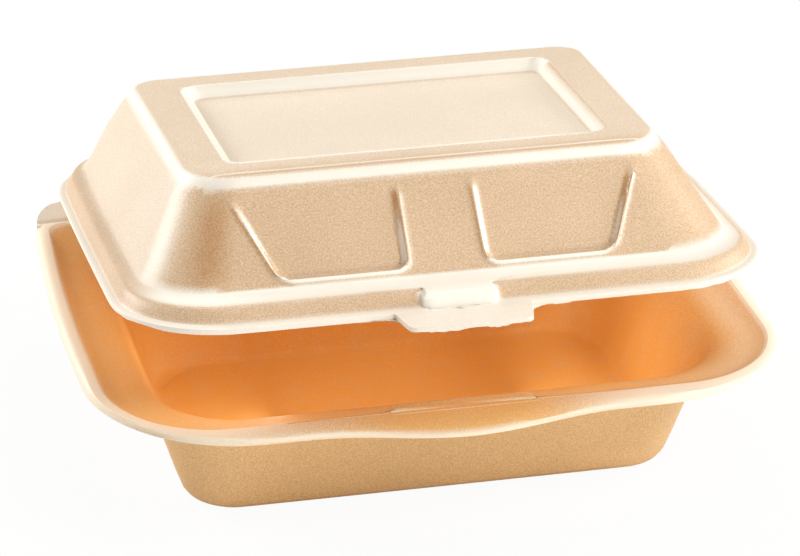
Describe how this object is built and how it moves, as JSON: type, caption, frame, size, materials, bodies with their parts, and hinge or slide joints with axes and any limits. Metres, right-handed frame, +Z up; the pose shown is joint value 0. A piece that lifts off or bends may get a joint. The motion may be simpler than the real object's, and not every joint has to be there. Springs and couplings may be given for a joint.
{
  "type": "hinged foam meal box",
  "caption": "Foam clamshell food container with a deep tray, a domed lid, a folded hinge strip and a front tab catch.",
  "frame": {"origin": "middle of the tray's flat underside", "axes": "+X along the long side to the right, +Y to the hinge at the back, +Z up"},
  "size_m": [0.24, 0.2053, 0.1169],
  "materials": {
    "tray_foam": "formed polystyrene foam, fine grain, satin",
    "lid_foam": "formed polystyrene foam, fine grain, satin",
    "hinge_foam": "formed polystyrene foam, pressed thin, satin"
  },
  "bodies": {
    "tray": {"tray": "tray_foam"},
    "hinge_strip": {"hinge_strip": "hinge_foam"},
    "hinge_band": {"hinge_band": "hinge_foam"},
    "lid": {"lid": "lid_foam"}
  },
  "joints": [
    {"name": "strip_fold", "type": "hinge", "parent": "tray", "child": "hinge_strip", "pos_m": [0, 0.087, 0.046], "axis": [-1, 0, 0], "range_deg": [0, 42]},
    {"name": "lid_seat", "type": "hinge", "parent": "hinge_strip", "child": "hinge_band", "pos_m": [0, 0.10324, 0.06114], "axis": [1, 0, 0], "range_deg": [0, 50]},
    {"name": "lid_hinge", "type": "hinge", "parent": "hinge_band", "child": "lid", "pos_m": [0, 0.10499, 0.06278], "axis": [-1, 0, 0], "range_deg": [0, 170]}
  ],
  "couplings": [
    {"joint": "lid_seat", "follows": "strip_fold", "ratio": 1.15}
  ]
}
